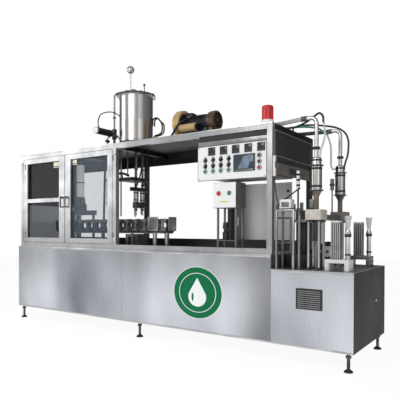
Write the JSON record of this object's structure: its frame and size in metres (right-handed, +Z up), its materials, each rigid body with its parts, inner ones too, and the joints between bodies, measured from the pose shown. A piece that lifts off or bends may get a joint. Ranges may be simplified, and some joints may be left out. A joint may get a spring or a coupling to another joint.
{
  "type": "two-lane liquid filling machine",
  "caption": "Free-standing liquid filling machine: steel base, glazed frame with a carton track, product tank, blower, operator panel and a low heating end.",
  "frame": {"origin": "middle of the footprint on the floor, under the feet", "axes": "+X along the line towards the heating end, +Y to the back, +Z up"},
  "size_m": [4.2, 1.014, 2.964],
  "materials": {
    "brushed_steel": "brushed",
    "polished_steel": "polished",
    "charcoal_paint": "satin",
    "black_plastic": "matte",
    "dark_steel": "dull",
    "pale_paint": "satin",
    "white_plate": "satin",
    "beige_block": "matte",
    "gold_paint": "metallic",
    "red_plastic": "gloss",
    "green_plastic": "gloss",
    "clear_glass": "clear",
    "grey_hose": "matte"
  },
  "bodies": {
    "machine": {"base_frame": "brushed_steel", "front_panel_left": "brushed_steel", "front_panel_middle": "brushed_steel", "front_panel_right": "brushed_steel", "rear_panel": "brushed_steel", "left_end_panel": "brushed_steel", "main_deck": "brushed_steel", "low_deck": "brushed_steel", "front_frame": "brushed_steel", "rear_frame": "brushed_steel", "roof": "brushed_steel", "filler_bridge": "brushed_steel", "conveyor_bed": "brushed_steel", "heater_column_front": "brushed_steel", "heater_column_rear": "brushed_steel", "right_end_panel": "charcoal_paint", "sign_panel": "charcoal_paint", "tank": "polished_steel", "tank_lid": "polished_steel", "inlet_valve": "dark_steel", "carrier_chain": "dark_steel", "ribbed_column_front": "dark_steel", "ribbed_column_rear": "dark_steel", "blower": "gold_paint", "beacon": "red_plastic", "control_cabinet": "pale_paint", "button_box": "pale_paint", "valve_stand": "white_plate", "black_hose": "black_plastic", "green_hose": "green_plastic", "press_blocks": "beige_block", "grey_hose": "grey_hose"},
    "door_left": {"door_left": "brushed_steel", "door_left_glass": "clear_glass"},
    "door_right": {"door_right": "brushed_steel", "door_right_glass": "clear_glass"},
    "rear_door": {"rear_door": "brushed_steel"},
    "control_door": {"control_door": "white_plate"},
    "float_rod": {"float_rod": "polished_steel"},
    "filling_head_front": {"filling_head_front": "dark_steel"},
    "filling_head_rear": {"filling_head_rear": "dark_steel"},
    "drive_disc": {"drive_disc": "black_plastic"},
    "valve_lever": {"valve_lever": "black_plastic"},
    "emergency_stop": {"emergency_stop": "red_plastic"},
    "box_start_button": {"box_start_button": "green_plastic"},
    "selector_1": {"selector_1": "black_plastic"},
    "selector_2": {"selector_2": "black_plastic"},
    "selector_3": {"selector_3": "black_plastic"},
    "selector_4": {"selector_4": "black_plastic"},
    "selector_5": {"selector_5": "black_plastic"},
    "selector_6": {"selector_6": "black_plastic"},
    "selector_7": {"selector_7": "black_plastic"},
    "selector_8": {"selector_8": "black_plastic"},
    "start_button_1": {"start_button_1": "green_plastic"},
    "start_button_2": {"start_button_2": "green_plastic"},
    "start_button_3": {"start_button_3": "green_plastic"},
    "start_button_4": {"start_button_4": "green_plastic"},
    "black_button_upper": {"black_button_upper": "black_plastic"},
    "black_button_lower": {"black_button_lower": "black_plastic"},
    "stop_button": {"stop_button": "red_plastic"}
  },
  "joints": [
    {"name": "door_left_hinge", "type": "hinge", "parent": "machine", "child": "door_left", "pos_m": [-2.02875, -0.4793, 0.9528], "axis": [0, 0, 1], "range_deg": [-110, 0]},
    {"name": "door_right_hinge", "type": "hinge", "parent": "machine", "child": "door_right", "pos_m": [-0.48225, -0.4793, 0.9528], "axis": [0, 0, 1], "range_deg": [0, 110]},
    {"name": "rear_door_hinge", "type": "hinge", "parent": "machine", "child": "rear_door", "pos_m": [0.47625, 0.4793, 0.9528], "axis": [0, 0, 1], "range_deg": [0, 110]},
    {"name": "control_door_hinge", "type": "hinge", "parent": "machine", "child": "control_door", "pos_m": [0.632, -0.472, 1.566], "axis": [0, 0, 1], "range_deg": [-110, 0]},
    {"name": "selector_1_turn", "type": "hinge", "parent": "control_door", "child": "selector_1", "pos_m": [0.718, -0.472, 1.756], "axis": [0, 1, 0], "range_deg": [-45, 45]},
    {"name": "selector_2_turn", "type": "hinge", "parent": "control_door", "child": "selector_2", "pos_m": [0.803, -0.472, 1.756], "axis": [0, 1, 0], "range_deg": [-45, 45]},
    {"name": "selector_3_turn", "type": "hinge", "parent": "control_door", "child": "selector_3", "pos_m": [0.887, -0.472, 1.756], "axis": [0, 1, 0], "range_deg": [-45, 45]},
    {"name": "selector_4_turn", "type": "hinge", "parent": "control_door", "child": "selector_4", "pos_m": [0.97, -0.472, 1.756], "axis": [0, 1, 0], "range_deg": [-45, 45]},
    {"name": "selector_5_turn", "type": "hinge", "parent": "control_door", "child": "selector_5", "pos_m": [0.718, -0.472, 1.703], "axis": [0, 1, 0], "range_deg": [-45, 45]},
    {"name": "selector_6_turn", "type": "hinge", "parent": "control_door", "child": "selector_6", "pos_m": [0.803, -0.472, 1.703], "axis": [0, 1, 0], "range_deg": [-45, 45]},
    {"name": "selector_7_turn", "type": "hinge", "parent": "control_door", "child": "selector_7", "pos_m": [0.887, -0.472, 1.703], "axis": [0, 1, 0], "range_deg": [-45, 45]},
    {"name": "selector_8_turn", "type": "hinge", "parent": "control_door", "child": "selector_8", "pos_m": [0.97, -0.472, 1.703], "axis": [0, 1, 0], "range_deg": [-45, 45]},
    {"name": "start_button_1_press", "type": "slide", "parent": "control_door", "child": "start_button_1", "axis": [0, 1, 0], "range_m": [0, 0.003], "stiffness_N_per_m": 400},
    {"name": "start_button_2_press", "type": "slide", "parent": "control_door", "child": "start_button_2", "axis": [0, 1, 0], "range_m": [0, 0.003], "stiffness_N_per_m": 400},
    {"name": "start_button_3_press", "type": "slide", "parent": "control_door", "child": "start_button_3", "axis": [0, 1, 0], "range_m": [0, 0.003], "stiffness_N_per_m": 400},
    {"name": "start_button_4_press", "type": "slide", "parent": "control_door", "child": "start_button_4", "axis": [0, 1, 0], "range_m": [0, 0.003], "stiffness_N_per_m": 400},
    {"name": "black_button_upper_press", "type": "slide", "parent": "control_door", "child": "black_button_upper", "axis": [0, 1, 0], "range_m": [0, 0.003], "stiffness_N_per_m": 400},
    {"name": "black_button_lower_press", "type": "slide", "parent": "control_door", "child": "black_button_lower", "axis": [0, 1, 0], "range_m": [0, 0.003], "stiffness_N_per_m": 400},
    {"name": "stop_button_press", "type": "slide", "parent": "control_door", "child": "stop_button", "axis": [0, 1, 0], "range_m": [0, 0.003], "stiffness_N_per_m": 400},
    {"name": "emergency_stop_press", "type": "slide", "parent": "machine", "child": "emergency_stop", "axis": [0, 1, 0], "range_m": [0, 0.003], "stiffness_N_per_m": 400},
    {"name": "box_start_button_press", "type": "slide", "parent": "machine", "child": "box_start_button", "axis": [0, 1, 0], "range_m": [0, 0.003], "stiffness_N_per_m": 400},
    {"name": "float_travel", "type": "slide", "parent": "machine", "child": "float_rod", "axis": [0, 0, 1], "range_m": [-0.18, 0]},
    {"name": "filling_head_front_dip", "type": "slide", "parent": "machine", "child": "filling_head_front", "axis": [0, 0, 1], "range_m": [-0.035, 0]},
    {"name": "filling_head_rear_dip", "type": "slide", "parent": "machine", "child": "filling_head_rear", "axis": [0, 0, 1], "range_m": [-0.035, 0]},
    {"name": "drive_disc_spin", "type": "hinge", "parent": "machine", "child": "drive_disc", "pos_m": [1.786, -0.175, 0.928], "axis": [0, 1, 0], "continuous": true},
    {"name": "valve_lever_turn", "type": "hinge", "parent": "machine", "child": "valve_lever", "pos_m": [1.486, -0.387, 1.3723], "axis": [0, 0, 1], "range_deg": [-90, 0]}
  ],
  "couplings": [
    {"joint": "filling_head_rear_dip", "follows": "filling_head_front_dip", "ratio": 1}
  ]
}
